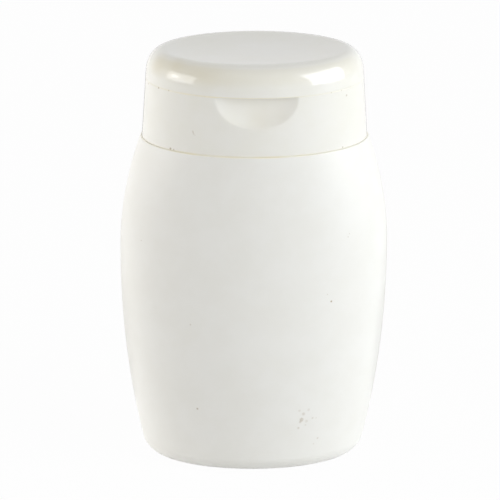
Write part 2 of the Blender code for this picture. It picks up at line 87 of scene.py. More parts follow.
# Bottle, walls and neck
BODY_WALL = 1.0 * MM
BASE_WALL = 1.4 * MM
BOSS_HEIGHT = 2.0 * MM
NECK_WALL = 1.4 * MM
NECK_ROOT = 0.6 * MM
NECK_LEAD = 2.6 * MM
BEAD_STAND = 0.8 * MM
BEAD_HEIGHT = 1.6 * MM

# Closure base
SIDE_DRAFT = 0.8 * MM
FRONT_DRAFT = 0.1 * MM
SKIRT_WALL = 1.3 * MM
DECK_WALL = 1.2 * MM
PLATEAU_RISE = 1.0 * MM
PLATEAU_BEAD = 0.15 * MM
SPOUT_FLARE = 1.6 * MM
SPOUT_LIP = 0.9 * MM
ORIFICE_RADIUS = 3.1 * MM
COLLAR_WALL = 1.2 * MM
COLLAR_LEAD = 1.2 * MM
SNAP_RING_HEIGHT = 1.2 * MM
SNAP_RING_STAND = 0.6 * MM
SEAL_WALL = 1.0 * MM
SEAL_LENGTH = 3.2 * MM
RIB_THICKNESS = 1.0 * MM
EDGE_ROUND = 0.04 * MM
INNER_EDGE_ROUND = 0.2 * MM

# Thumb recess
RECESS_WIDTH = 21.0 * MM
RECESS_HEIGHT = 7.0 * MM
RECESS_DEPTH = 2.3 * MM
RECESS_LEAD = 1.3 * MM
RECESS_EDGE = 0.16 * MM
RECESS_MARGIN = 4 * RECESS_EDGE

# Lid
LID_STRAIGHT = 1.4 * MM
LID_DRAFT = 0.1 * MM
LID_WALL = 1.3 * MM
RIM_INSET = 4.0 * MM
CREST_ROUND = 0.75 * MM
DISH_DEPTH = 0.6 * MM
DISH_CURVE = 2.2
LIP_OVERHANG = 0.2 * MM
PLUG_ENTRY = 1.8 * MM
SPOUT_RING_WALL = 0.8 * MM

# Hinge
FLAT_DROP = 7.2 * MM
FLAT_INSET = 1.0 * MM
FLAT_BACKING = 1.05 * MM
GROOVE_HEIGHT = 3.0 * MM
POCKET_WALL = 1.0 * MM
FILM_EDGE = 0.06 * MM
BAND_EDGE = 0.12 * MM

# Clearances
SEAT_GAP = 0.3 * MM
SEAM_GAP = 0.012 * MM
FILM_GAP = 0.1 * MM
SEAL_GAP = 0.15 * MM
SNAP_GAP = 0.2 * MM
PLUG_GAP = 0.2 * MM
SPOUT_GAP = 0.7 * MM
COLLAR_GAP = 0.8 * MM
OVERRUN = 1.0 * MM

# Places read from the frame
_, BODY_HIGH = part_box("bottle_body")
BASE_LOW, BASE_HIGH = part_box("closure_base")
LID_LOW, LID_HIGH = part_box("lid")
BAND_LOW, BAND_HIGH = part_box("hinge_spring_band")
_, AXIS_Y, AXIS_Z = JOINTS["lid_hinge"]["pos_m"]

SLACK = (SEAT_GAP - SEAM_GAP) / 2
BODY_HALF_WIDTH = BODY_HIGH.x - PARTING_RISE
BODY_HALF_DEPTH = BODY_HIGH.y
CAP_HALF_WIDTH = BASE_HIGH.x
CAP_HALF_DEPTH = -BASE_LOW.y
FAR_Y = 2 * CAP_HALF_DEPTH
SKIRT_BOTTOM = BASE_LOW.z - SLACK
SHOULDER_HEIGHT = BASE_LOW.z - SEAT_GAP + SLACK
SKIRT_TOP = AXIS_Z - SEAM_GAP / 2
LID_BOTTOM = AXIS_Z + SEAM_GAP / 2
LID_TOP = LID_HIGH.z
PLATEAU_TOP = AXIS_Z - SEAT_GAP / 2 + PLATEAU_RISE
RIM_UNDERSIDE = PLATEAU_TOP - PLATEAU_RISE - DECK_WALL
DECK_UNDERSIDE = PLATEAU_TOP - DECK_WALL
DISH_FLOOR = LID_TOP - DISH_DEPTH
SPOUT_TOP = BASE_HIGH.z
NECK_TOP = BODY_HIGH.z
BEAD_BOTTOM = NECK_TOP - NECK_LEAD - BEAD_HEIGHT
SNAP_RING_TOP = BEAD_BOTTOM - SEAT_GAP
COLLAR_BOTTOM = SNAP_RING_TOP - SNAP_RING_HEIGHT - COLLAR_LEAD
ROOT_TOP = COLLAR_BOTTOM - COLLAR_GAP
DOME_TOP = ROOT_TOP - NECK_ROOT
SEAM_HALF_WIDTH = CAP_HALF_WIDTH - SIDE_DRAFT
SEAM_HALF_DEPTH = CAP_HALF_DEPTH - FRONT_DRAFT
FLAT_Y = SEAM_HALF_DEPTH - FLAT_INSET
GROOVE_FLOOR_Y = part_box("hinge_film_left")[0].y - FILM_GAP
PAD_INNER_Y = GROOVE_FLOOR_Y - FLAT_BACKING
WINDOW_HALF_WIDTH = BAND_HIGH.x + SEAT_GAP
POCKET_HALF_WIDTH = WINDOW_HALF_WIDTH + POCKET_WALL
WINDOW_INNER_Y = BAND_LOW.y - SEAT_GAP
WINDOW_BOTTOM = BAND_LOW.z - (BAND_HIGH.y - BAND_LOW.y) / 2 - FILM_GAP
WINDOW_TOP = BAND_HIGH.z + (BAND_HIGH.y - BAND_LOW.y) / 2 + FILM_GAP
COLLAR_RADIUS = WINDOW_INNER_Y
SOCKET_RADIUS = COLLAR_RADIUS - COLLAR_WALL
SNAP_RING_RADIUS = SOCKET_RADIUS - SNAP_RING_STAND
BEAD_RADIUS = SOCKET_RADIUS - SNAP_GAP
NECK_RADIUS = BEAD_RADIUS - BEAD_STAND
NECK_BORE_RADIUS = NECK_RADIUS - NECK_WALL
SEAL_RADIUS = NECK_BORE_RADIUS - SEAL_GAP
SEAL_BORE_RADIUS = SEAL_RADIUS - SEAL_WALL
SPOUT_RADIUS = ORIFICE_RADIUS + SPOUT_LIP
SPOUT_FOOT_RADIUS = SPOUT_RADIUS + SPOUT_FLARE
SPOUT_RING_RADIUS = SPOUT_FOOT_RADIUS + SPOUT_GAP
LIP_PAD_Y = -(SEAM_HALF_DEPTH - RECESS_DEPTH - LIP_OVERHANG)
PLATEAU_FRONT_Y = LIP_PAD_Y + SEAT_GAP
PLATEAU_INSET = LID_WALL + SEAT_GAP

# Camera
VIEW_ELEVATION = math.radians(20.0)
VIEW_AZIMUTH = math.radians(-1.9)
VIEW_ROLL = math.radians(0.305)
VIEW_DISTANCE = 1552.0 * MM
VIEW_LENS = 496.6
VIEW_SENSOR = 36.0
VIEW_REACH = 20000.0 * MM
VIEW_AIM = Vector((-0.864, 0.0, 47.915)) * MM

# Plastics, with two colours and two roughnesses that each blends between
BOTTLE_COLOURS = ((0.874, 0.859, 0.807, 1.0), (0.892, 0.879, 0.834, 1.0))
BOTTLE_ROUGHNESSES = (0.32, 0.4)
BOTTLE_IOR = 1.5
CLOSURE_COLOURS = ((0.868, 0.849, 0.772, 1.0), (0.886, 0.869, 0.812, 1.0))
CLOSURE_ROUGHNESSES = (0.36, 0.44)
CLOSURE_IOR = 1.49
CLOSURE_SPECULAR = 0.35
COAT_WEIGHT = 1.0
COAT_IOR = 1.55
COAT_ROUGHNESS = 0.04

# Unevenness of the surfaces, as a strength and a height
BOTTLE_WAVE = (0.25, 0.6 * MM)
BOTTLE_GRAIN = (0.12, 0.04 * MM)
CLOSURE_WAVE = (0.15, 0.3 * MM)

# Noises, as a scale, a detail and a roughness, and the spans of their values that are used
BOTTLE_TONE_NOISE = (130.0, 4.0, 0.6)
BOTTLE_GRAIN_NOISE = (900.0, 3.0, 0.6)
BOTTLE_WAVE_NOISE = (60.0, 2.0, 0.5)
CLOSURE_TONE_NOISE = (90.0, 4.0, 0.6)
CLOSURE_GRAIN_NOISE = (1100.0, 3.0, 0.6)
CLOSURE_WAVE_NOISE = (90.0, 2.0, 0.5)
STAIN_NOISE = (180.0, 2.0, 0.5)
MARK_NOISE = (2600.0, 3.0, 0.6)
NOISE_SPAN = (0.3, 0.7)
STAIN_NOISE_SPAN = (0.3, 0.6)

# Marks on the plastic
SEAM_STAIN_HEIGHT = 0.24 * MM
SEAM_STAIN_MIDDLE = -4.0 * MM
SEAM_STAIN_ENDS = (8.0 * MM, 20.0 * MM)
SEAM_STAIN_END_SHARE = 0.35
SEAM_STAIN_PATCH_SHARES = (0.45, 1.0)
MARK_FADE_RADII = 1.8
STAIN_COLOUR = (0.92, 0.865, 0.69, 1.0)
SOIL_COLOUR = (0.34, 0.24, 0.11, 1.0)
# colour of the painted warm shade and reflection on the lid's rim and in the recess
PAINTED_SHADE_COLOUR = (0.71, 0.64, 0.45, 1.0)

# Painted shade and warm reflection along the front of the lid's rim: how far below the top it begins, is
# full, fades and ends
RIM_SHADE_DROPS = (4.9 * MM, 2.6 * MM, 0.9 * MM, 0.3 * MM)
RIM_SHADE_DEPTHS = (-7.0 * MM, -1.0 * MM)
RIM_SHADE_SHARE = 0.2

# Light
LIGHT_DISTANCE = 1000.0 * MM
LIGHT_AIM_HEIGHT = 50.0 * MM
WORLD_STRENGTH = 0.135
WORLD_COLOUR = (1.0, 0.94, 0.84, 1.0)
FULL_WHITE = (1.0, 1.0, 1.0, 1.0)
PLAIN_WHITE = (1.0, 1.0, 1.0)
COOL_WHITE = (0.93, 0.965, 1.0)
SKY_WHITE = (0.86, 0.91, 1.0)

# Each light: the azimuths and elevations it fills in degrees, seen from the bottle with azimuth 0 in
# front of it, its radiance, its colour, and whether the surfaces mirror it
LIGHTS = (
    ("left softbox", (-81, -47), (0, 27), 2.8, PLAIN_WHITE, True),
    ("left lamp", (-75, -65), (8, 18), 4.0, PLAIN_WHITE, True),
    ("left screen", (-125, -82), (-3, 20), 5.0, PLAIN_WHITE, False),
    ("right softbox", (42, 84), (-3, 44), 4.72, COOL_WHITE, True),
    ("back screen", (145, 215), (-3, 45), 0.7, SKY_WHITE, False),
    ("overhead screen", (-25, 25), (63, 113), 0.32, SKY_WHITE, False),
)

# Floor, and the grey card that lies on it behind the bottle
FLOOR_HALF_SIZE = 4000.0 * MM
FLOOR_COLOUR = (0.8, 0.8, 0.8, 1.0)
FLOOR_ROUGHNESS = 0.9
FLOOR_GLOW_SHARE = 0.97
CARD_HALF_WIDTH = 100.0 * MM
CARD_NEAR_Y = 25.0 * MM
CARD_FAR_Y = 900.0 * MM
CARD_HEIGHT = 0.5 * MM
CARD_BRIGHTNESS = 0.35

# Marks of handling on the front, as (x, height, radius) in mm and a strength
BODY_MARKS = (
    (16.9, 41.0, 0.22, 0.75),
    (16.0, 42.8, 0.16, 0.25),
    (-25.5, 53.7, 0.16, 0.3),
    (20.9, 56.2, 0.14, 0.25),
    (20.6, 55.5, 0.16, 0.25),
    (-14.6, 36.0, 0.22, 0.25),
    (-13.0, 15.7, 0.24, 0.5),
    (9.9, 15.4, 0.3, 0.16),
    (10.8, 14.5, 0.4, 0.24),
    (12.0, 15.4, 0.35, 0.15),
    (10.4, 13.1, 0.5, 0.34),
    (10.1, 12.6, 0.35, 0.28),
    (11.5, 12.6, 0.35, 0.15),
    (12.9, 13.2, 0.25, 0.22),
    (13.7, 13.1, 0.18, 0.13),
    (9.7, 11.1, 0.28, 0.25),
    (11.3, 11.7, 0.24, 0.15),
    (14.1, 7.9, 0.26, 0.22),
    (13.2, 6.6, 0.2, 0.15),
)
CLOSURE_MARKS = (
    (-14.1, 80.75, 0.16, 0.3),
    (-14.05, 80.45, 0.18, 0.32),
    (-13.9, 80.15, 0.17, 0.3),
    (-13.65, 79.9, 0.14, 0.2),
    (20.1, 87.6, 0.26, 0.35),
    (-19.0, 75.8, 0.26, 0.6),
    (-18.3, 75.75, 0.2, 0.4),
    (19.3, 75.8, 0.22, 0.45),
    (-23.8, 88.7, 0.22, 0.5),
    (-21.6, 89.0, 0.2, 0.55),
    (-19.4, 89.1, 0.16, 0.4),
    (16.6, 89.1, 0.16, 0.3),
    (18.9, 89.1, 0.16, 0.3),
)

# Patches of painted warm shade and reflection on the left of the lid's rim, and of painted warm shade in
# the recess, as (x, y, height, radius) in mm and a strength
PAINTED_SHADE_PATCHES = (
    (-21.4, -5.8, 94.0, 4.0, 0.34),
    (-17.9, -8.9, 94.6, 4.0, 0.42),
    (-14.4, -11.6, 94.0, 4.5, 0.32),
    (-11.0, -13.2, 93.5, 4.5, 0.28),
    (-7.0, -14.2, 93.3, 4.5, 0.14),
    (0.5, -14.2, 84.0, 4.5, 0.16),
    (5.5, -14.4, 84.4, 4.0, 0.12),
)

# Shares of the sizes above
PUSH_UP_FLAT_SHARE = 0.62
PARTING_START_SHARE = 0.1
PINCH_START_SHARE = 0.3
RIDGE_SHARES = (-3, -2, -1.4, -1, -0.6, -0.3, 0, 0.3, 0.6, 1, 1.4, 2, 3)
DOME_SHARES = (0.0, 0.04, 0.12, 0.25, 0.4, 0.55, 0.7, 0.85, 1.0)
BOTTLE_FLOOR_SHARES = (0.85, 0.25)
LID_ROOF_SHARES = (0.92, 0.75, 0.5, 0.2)
PLUG_TIP_SHARE = 0.75
PLUG_CHAMFER_SHARE = 0.2
STRIP_EDGE_SHARE = 0.9

# Fineness
ROW_STEP = 0.8 * MM
INNER_ROW_STEP = 3 * ROW_STEP
FINE_STEP = 0.14 * MM
UNDERSIDE_FIRST_SHARE = 0.03
UNDERSIDE_STEP_SHARE = 0.04
DECK_STEP_SHARE = 0.25
PLATEAU_STEP_SHARE = 0.1
LID_SIDE_STEP_SHARE = 0.2
DISH_FIRST_SHARE = 0.02
DISH_STEP_SHARE = 0.0125
LEAST_SPREAD_SHARE = 0.01
COLUMNS = 192
LID_COLUMNS = 288
INNER_COLUMNS = 96
HEEL_STEPS = 18
SHOULDER_STEPS = 6
INNER_HEEL_STEPS = 6
EDGE_STEPS = 4
SPOUT_STEPS = 12
CREST_STEPS = 40
ROOF_STEPS = 10
PLUG_STEPS = 5
BACKING_TURN = math.pi / 24
FILM_ROWS = 24
BAND_ROWS = 12
SHARP_ANGLE = math.radians(32.0)
STRIP_SHARP_ANGLE = math.radians(40.0)


# Turned forms


def quarter_turns(steps):
    return [math.pi / 2 * k / steps for k in range(steps + 1)]


def spaced(low, high, step):
    """Numbers from low to high, both included, no further apart than step."""
    count = max(1, math.ceil(abs(high - low) / step))
    return [low + (high - low) * k / count for k in range(count + 1)]


def mixed(start, end, share):
    return start + (end - start) * share


def even_turns(count):
    return np.array([2 * math.pi * k / count for k in range(count)])


def oval(ring, turns):
    """Points round an ellipse (half width, half depth, height)."""
    half_width, half_depth, height = ring
    return np.stack(
        [half_width * np.cos(turns), half_depth * np.sin(turns), np.full(len(turns), height)], axis=1
    )


def circle(radius, height):
    return (radius, radius, height)


def lofted(name, rows):
    """One closed mesh through rows of points; both end rows are closed round their middles.

    Rows run outward along an underside, then up the outside and back inward.
    """
    rows = np.array(rows)
    count, columns, _ = rows.shape
    points = rows.reshape(-1, 3).tolist()
    first, last = len(points), len(points) + 1
    points.append(rows[0].mean(axis=0).tolist())
    points.append(rows[-1].mean(axis=0).tolist())
    faces = []
    for k in range(columns):
        after = (k + 1) % columns
        faces.append((first, after, k))
        for row in range(count - 1):
            low, high = row * columns, (row + 1) * columns
            faces.append((low + k, low + after, high + after, high + k))
        top = (count - 1) * columns
        faces.append((last, top + k, top + after))
    mesh = bpy.data.meshes.new(name)
    mesh.from_pydata(points, [], faces)
    mesh.update()
    return add_piece(name, mesh)


def add_piece(name, mesh):
    obj = bpy.data.objects.new(name, mesh)
    bpy.context.scene.collection.objects.link(obj)
    return obj


def turned(name, rings, columns=INNER_COLUMNS):
    turns = even_turns(columns)
    return lofted(name, [oval(ring, turns) for ring in rings])


def box(name, low, high):
    """A box between two corners."""
    (x0, y0, z0), (x1, y1, z1) = low, high
    x0, x1 = min(x0, x1), max(x0, x1)
    y0, y1 = min(y0, y1), max(y0, y1)
    points = [(x, y, z) for z in (z0, z1) for y in (y0, y1) for x in (x0, x1)]
    faces = [(0, 2, 3, 1), (4, 5, 7, 6), (0, 1, 5, 4), (2, 6, 7, 3), (0, 4, 6, 2), (1, 3, 7, 5)]
    mesh = bpy.data.meshes.new(name)
    mesh.from_pydata(points, [], faces)
    mesh.update()
    return add_piece(name, mesh)


def cut(obj, other, operation="DIFFERENCE"):
    modifier = obj.modifiers.new(f"{operation.lower()} {other.name}", "BOOLEAN")
    modifier.object = other
    modifier.operation = operation
    modifier.solver = "EXACT"


def settle(obj, helpers=()):
    """Keeps the result of an object's modifiers as its mesh, and removes the helpers."""
    bpy.context.view_layer.update()
    graph = bpy.context.evaluated_depsgraph_get()
    mesh = bpy.data.meshes.new_from_object(obj.evaluated_get(graph))
    obj.modifiers.clear()
    obj.data = mesh
    for helper in helpers:
        bpy.data.objects.remove(helper, do_unlink=True)


def finish_surface(obj):
    obj.data.shade_smooth()
    obj.data.set_sharp_from_angle(angle=SHARP_ANGLE)
    modifier = obj.modifiers.new("face weighted shading", "WEIGHTED_NORMAL")
    modifier.keep_sharp = True
    settle(obj)


# Bottle


def bulge(height, low_end, widest, high_end, peak, curves):
    """A half size that swells from low_end at the floor to widest at the peak, and shrinks to
    high_end at the shoulder.
    """
    foot_curve, shoulder_curve = curves
    if height < peak:
        share, end, curve = (peak - height) / peak, low_end, foot_curve
    else:
        share = (height - peak) / (SHOULDER_HEIGHT - peak)
        end, curve = high_end, shoulder_curve
    return widest - (widest - end) * share**curve


def body_ring(height, inset=0.0):
    half_width = bulge(
        height,
        FOOT_WIDTH / 2,
        BODY_HALF_WIDTH,
        CAP_HALF_WIDTH + LEDGE_STEP,
        WIDEST_HEIGHT,
        (FOOT_CURVE, SHOULDER_CURVE),
    )
    half_depth = bulge(
        height,
        FOOT_DEPTH / 2,
        BODY_HALF_DEPTH,
        CAP_HALF_DEPTH + LEDGE_STEP,
        DEEPEST_HEIGHT,
        (DEPTH_CURVE, DEPTH_CURVE),
    )
    return (half_width - inset, half_depth - inset, height)


def underside_rings():
    """From the middle of the push-up out over the flat ring and round the heel."""
    half_width, half_depth, _ = body_ring(0.0, HEEL_RADIUS + FOOT_LAND)
    rings = []
    for share in spaced(UNDERSIDE_FIRST_SHARE, 1.0, UNDERSIDE_STEP_SHARE):
        fall = max(0.0, (share - PUSH_UP_FLAT_SHARE) / (1 - PUSH_UP_FLAT_SHARE)) ** PUSH_UP_CURVE
        rings.append((half_width * share, half_depth * share, PUSH_UP * (1 - fall)))
    for turn in quarter_turns(HEEL_STEPS):
        inset = HEEL_RADIUS * (1 - math.sin(turn))
        rings.append(body_ring(HEEL_RADIUS * (1 - math.cos(turn)), inset))
    return rings


def wall_rings():
    """Up the side wall and over the rounded edge of the shoulder."""
    rings = [body_ring(z) for z in spaced(HEEL_RADIUS, SHOULDER_HEIGHT - SHOULDER_ROUND, ROW_STEP)[1:]]
    for turn in quarter_turns(SHOULDER_STEPS)[1:]:
        height = SHOULDER_HEIGHT - SHOULDER_ROUND * (1 - math.sin(turn))
        rings.append(body_ring(height, SHOULDER_ROUND * (1 - math.cos(turn))))
    return rings


def boss_ring(height, inset=0.0):
    inset += SKIRT_WALL + SEAT_GAP
    return (CAP_HALF_WIDTH - inset, CAP_HALF_DEPTH - inset, height)


def dome_rings(inset):
    boss_top = SHOULDER_HEIGHT - SLACK + BOSS_HEIGHT
    boss_width, boss_depth, _ = boss_ring(boss_top)
    root = NECK_RADIUS + NECK_ROOT
    return [
        (
            boss_width + (root - boss_width) * share - inset,
            boss_depth + (root - boss_depth) * share - inset,
            boss_top + (DOME_TOP - boss_top) * math.sin(math.pi / 2 * share) - inset,
        )
        for share in DOME_SHARES
    ]


def neck_rings():
    return [
        circle(NECK_RADIUS, ROOT_TOP),
        circle(NECK_RADIUS, BEAD_BOTTOM),
        circle(BEAD_RADIUS, BEAD_BOTTOM + BEAD_STAND / 4),
        circle(BEAD_RADIUS, BEAD_BOTTOM + BEAD_HEIGHT / 2),
        circle(NECK_RADIUS, BEAD_BOTTOM + BEAD_HEIGHT),
        circle(NECK_RADIUS, NECK_TOP - NECK_WALL / 4),
        circle(NECK_RADIUS - NECK_WALL / 4, NECK_TOP),
        circle(NECK_BORE_RADIUS, NECK_TOP),
        circle(NECK_BORE_RADIUS, DOME_TOP),
    ]


def inside_rings():
    """Down the inside, from the shoulder to near the middle of the floor."""
    top = SHOULDER_HEIGHT - 2 * BODY_WALL
    radius = HEEL_RADIUS - BODY_WALL
    rings = [boss_ring(SHOULDER_HEIGHT - BODY_WALL / 2, BODY_WALL)]
    rings += [body_ring(z, BODY_WALL) for z in spaced(top, BASE_WALL + radius, INNER_ROW_STEP)[:-1]]
    for turn in reversed(quarter_turns(INNER_HEEL_STEPS)):
        height = BASE_WALL + radius * (1 - math.cos(turn))
        rings.append(body_ring(height, BODY_WALL + radius * (1 - math.sin(turn))))
    half_width, half_depth, _ = body_ring(0.0, HEEL_RADIUS + FOOT_LAND)
    for share in BOTTLE_FLOOR_SHARES:
        rings.append((share * half_width, share * half_depth, PUSH_UP + BASE_WALL))
    return rings


def parting_turns():
    """Columns round the bottle, closer together where the mould parts, at both ends of the oval."""
    near = [share * PARTING_WIDTH / BODY_HALF_DEPTH for share in RIDGE_SHARES]
    step = 2 * math.pi / COLUMNS
    turns = []
    for middle in (0.0, math.pi):
        turns += [middle + turn for turn in near]
        turns += [middle + turn for turn in spaced(near[-1], math.pi - near[-1], step)[1:-1]]
    return np.array(turns)


def make_bottle():
    turns = parting_turns()
    outside = underside_rings() + wall_rings()
    inside = (
        [boss_ring(SHOULDER_HEIGHT)]
        + dome_rings(0.0)
        + neck_rings()
        + list(reversed(dome_rings(BODY_WALL)))
        + inside_rings()
    )
    rows = []
    for ring in outside:
        half_width, _, height = ring
        row = oval(ring, turns)
        if HEEL_RADIUS * PARTING_START_SHARE < height < SHOULDER_HEIGHT - SHOULDER_ROUND / 2:
            ridge = np.exp(-((row[:, 1] / PARTING_WIDTH) ** 2)) * PARTING_RISE
            row[:, 0] += np.sign(row[:, 0]) * ridge
        on_push_up = half_width < FOOT_WIDTH / 2 - HEEL_RADIUS - FOOT_LAND
        if on_push_up and height > PUSH_UP * PINCH_START_SHARE:
            along = np.clip((PINCH_LENGTH / 2 - abs(row[:, 0])) / PINCH_WIDTH, 0.0, 1.0)
            row[:, 2] -= PINCH_RISE * along * np.exp(-((row[:, 1] / (PINCH_WIDTH / 2)) ** 2))
        rows.append(row)
    rows += [oval(ring, turns) for ring in inside]
    obj = lofted("bottle_shell", rows)
    finish_surface(obj)
    return obj


# Closure base


def cap_ring(height, inset=0.0):
    share = (height - SKIRT_BOTTOM) / (SKIRT_TOP - SKIRT_BOTTOM)
    half_width = CAP_HALF_WIDTH - SIDE_DRAFT * share - inset
    return (half_width, CAP_HALF_DEPTH - FRONT_DRAFT * share - inset, height)


def seam_ring(inset, height):
    return (SEAM_HALF_WIDTH - inset, SEAM_HALF_DEPTH - inset, height)


def recess_radii():
    """Half sizes of the ellipsoid that scoops the recess, and its centre."""
    reach = RECESS_LEAD + RECESS_DEPTH
    half = RECESS_WIDTH / 2
    sag = SEAM_HALF_DEPTH * (1 - math.sqrt(1 - (half / SEAM_HALF_WIDTH) ** 2))
    radii = (
        half / math.sqrt(1 - ((RECESS_LEAD + sag) / (reach + sag)) ** 2),
        reach,
        RECESS_HEIGHT / math.sqrt(1 - (RECESS_LEAD / reach) ** 2),
    )
    centre = (0.0, -(SEAM_HALF_DEPTH + RECESS_LEAD), SKIRT_TOP)
    return radii, centre


def scooped(points, grow):
    """Points of the skirt, pushed in where the thumb recess is deeper than they are."""
    radii, centre = recess_radii()
    across = (points[:, 0] - centre[0]) / (radii[0] + grow)
    up = (points[:, 2] - centre[2]) / (radii[2] + grow)
    inside = np.clip(1 - across**2 - up**2, 0.0, None)
    floor = centre[1] + (radii[1] + grow) * np.sqrt(inside)
    y = points[:, 1]
    pushed = (y + floor + np.sqrt((y - floor) ** 2 + RECESS_EDGE**2)) / 2
    share = np.clip(1 - 2 * (y - floor) / RECESS_LEAD, 0.0, 1.0)
    result = points.copy()
    result[:, 1] = np.where((y < 0) & (inside > 0), mixed(y, pushed, share), y)
    return result


def front_turns():
    """Columns round the closure, closer together across the thumb recess."""
    half = RECESS_WIDTH / 2 + RECESS_MARGIN
    front = [1.5 * math.pi + math.asin(x / SEAM_HALF_WIDTH) for x in spaced(-half, half, FINE_STEP)]
    rest = spaced(front[-1], front[0] + 2 * math.pi, 2 * math.pi / COLUMNS)[1:-1]
    return np.array(front + rest)


def clamped(row, low_y, high_y):
    result = row.copy()
    result[:, 1] = np.clip(result[:, 1], low_y, high_y)
    return result


def skirt_rows(turns):
    """The skirt's outside from its bottom edge up to the deck's edge, with the recess in it."""
    rows = []
    for turn in quarter_turns(EDGE_STEPS)[:-1]:
        height = SKIRT_BOTTOM + EDGE_ROUND * (1 - math.sin(turn))
        rows.append(oval(cap_ring(height, EDGE_ROUND * (1 - math.cos(turn))), turns))
    rows.reverse()
    recess_bottom = SKIRT_TOP - RECESS_HEIGHT - RECESS_MARGIN
    heights = spaced(SKIRT_BOTTOM + EDGE_ROUND, recess_bottom, ROW_STEP)
    heights += spaced(recess_bottom, SKIRT_TOP - EDGE_ROUND, FINE_STEP)[1:]
    for height in heights:
        rows.append(scooped(oval(cap_ring(height), turns), 0.0))
    for turn in quarter_turns(EDGE_STEPS)[1:]:
        height = SKIRT_TOP - EDGE_ROUND * (1 - math.sin(turn))
        inset = EDGE_ROUND * (1 - math.cos(turn))
        rows.append(scooped(oval(cap_ring(height, inset), turns), inset))
    return rows


def plateau_row(inset, height, turns):
    row = oval(seam_ring(PLATEAU_INSET + inset, height), turns)
    return clamped(row, PLATEAU_FRONT_Y + max(0.0, inset), PAD_INNER_Y - SEAT_GAP - max(0.0, inset))


def spout_rings():
    """Outside of the spout, over its rounded lip and down the bore."""
    lip = SPOUT_LIP / 2
    rise = SPOUT_TOP - PLATEAU_TOP - lip
    quarter = quarter_turns(SPOUT_STEPS)
    rings = []
    for turn in quarter[1:]:
        radius = SPOUT_FOOT_RADIUS - SPOUT_FLARE * math.sin(turn)
        rings.append(circle(radius, PLATEAU_TOP + rise * (1 - math.cos(turn))))
    for turn in quarter[1:] + [math.pi - turn for turn in reversed(quarter[:-1])]:
        radius = ORIFICE_RADIUS + lip + lip * math.cos(turn)
        rings.append(circle(radius, SPOUT_TOP - lip + lip * math.sin(turn)))
    for height in spaced(SPOUT_TOP - lip, DECK_UNDERSIDE - SEAT_GAP, ROW_STEP)[1:]:
        rings.append(circle(ORIFICE_RADIUS, height))
    return rings


def closure_outside():
    turns = front_turns()
    rows = [oval(cap_ring(SKIRT_BOTTOM, SKIRT_WALL / 2), turns)]
    rows += skirt_rows(turns)
    edge = rows[-1]
    foot = plateau_row(0.0, SKIRT_TOP, turns)
    for share in spaced(0.0, 1.0, DECK_STEP_SHARE)[1:]:
        rows.append(mixed(edge, foot, share))
    rows.append(plateau_row(-PLATEAU_BEAD / 2, SKIRT_TOP + PLATEAU_RISE / 4, turns))
    rows.append(plateau_row(-PLATEAU_BEAD, SKIRT_TOP + PLATEAU_RISE / 2, turns))
    rows.append(plateau_row(0.0, PLATEAU_TOP - INNER_EDGE_ROUND, turns))
    for turn in quarter_turns(EDGE_STEPS)[1:]:
        inset = INNER_EDGE_ROUND * (1 - math.cos(turn))
        height = PLATEAU_TOP - INNER_EDGE_ROUND * (1 - math.sin(turn))
        rows.append(plateau_row(inset, height, turns))
    top, spout_foot = rows[-1], oval(circle(SPOUT_FOOT_RADIUS, PLATEAU_TOP), turns)
    for share in spaced(0.0, 1.0, PLATEAU_STEP_SHARE)[1:]:
        rows.append(mixed(top, spout_foot, share))
    rows += [oval(ring, turns) for ring in spout_rings()]
    return lofted("closure_skin", rows)


def closure_hollow():
    """The space under the deck: the skirt's inside, the collar and the sealing ring."""
    rim_inset = PLATEAU_INSET + DECK_WALL
    seal_bottom = DECK_UNDERSIDE - SEAL_LENGTH
    seal_chamfer = SEAL_WALL / 2
    return turned(
        "closure_hollow",
        [
            cap_ring(SKIRT_BOTTOM - OVERRUN, SKIRT_WALL),
            cap_ring(RIM_UNDERSIDE, SKIRT_WALL),
            seam_ring(rim_inset, RIM_UNDERSIDE),
            seam_ring(rim_inset, DECK_UNDERSIDE),
            circle(COLLAR_RADIUS, DECK_UNDERSIDE),
            circle(COLLAR_RADIUS, COLLAR_BOTTOM),
            circle(SOCKET_RADIUS, COLLAR_BOTTOM),
            circle(SNAP_RING_RADIUS, SNAP_RING_TOP - SNAP_RING_HEIGHT),
            circle(SNAP_RING_RADIUS, SNAP_RING_TOP - SNAP_RING_HEIGHT / 4),
            circle(SOCKET_RADIUS, SNAP_RING_TOP),
            circle(SOCKET_RADIUS, DECK_UNDERSIDE),
            circle(SEAL_RADIUS, DECK_UNDERSIDE),
            circle(SEAL_RADIUS, seal_bottom + seal_chamfer),
            circle(SEAL_RADIUS - seal_chamfer, seal_bottom),
            circle(SEAL_BORE_RADIUS, seal_bottom),
            circle(SEAL_BORE_RADIUS, DECK_UNDERSIDE),
            circle(ORIFICE_RADIUS / 2, DECK_UNDERSIDE),
        ],
    )


def recess_backing():
    """The wall behind the recess, as a solid a wall larger than what scoops it."""
    radii, centre = recess_radii()
    width, depth, height = [radius + SKIRT_WALL for radius in radii]
    rings = []
    for turn in spaced(-math.pi / 2, math.pi / 2, BACKING_TURN)[1:-1]:
        out = math.cos(turn)
        rings.append((width * out, depth * out, centre[2] + height * math.sin(turn)))
    backing = turned("recess_backing", rings)
    for vertex in backing.data.vertices:
        vertex.co.y += centre[1]
    return backing


def wide_slab(name, near_y, far_y, low_z, high_z):
    return box(name, (-CAP_HALF_WIDTH, near_y, low_z), (CAP_HALF_WIDTH, far_y, high_z))


def hinge_cutters():
    """The flat and the film groove, which run across the lid seam, so both halves take them."""
    half = GROOVE_HEIGHT / 2
    return [
        wide_slab("hinge_flat", FLAT_Y, FAR_Y, AXIS_Z - FLAT_DROP, LID_TOP + OVERRUN),
        wide_slab("film_groove", GROOVE_FLOOR_Y, FAR_Y, AXIS_Z - half, AXIS_Z + half),
    ]


def window_cutter(name, low_z, high_z):
    low = (-WINDOW_HALF_WIDTH, WINDOW_INNER_Y, low_z)
    return box(name, low, (WINDOW_HALF_WIDTH, FAR_Y, high_z))


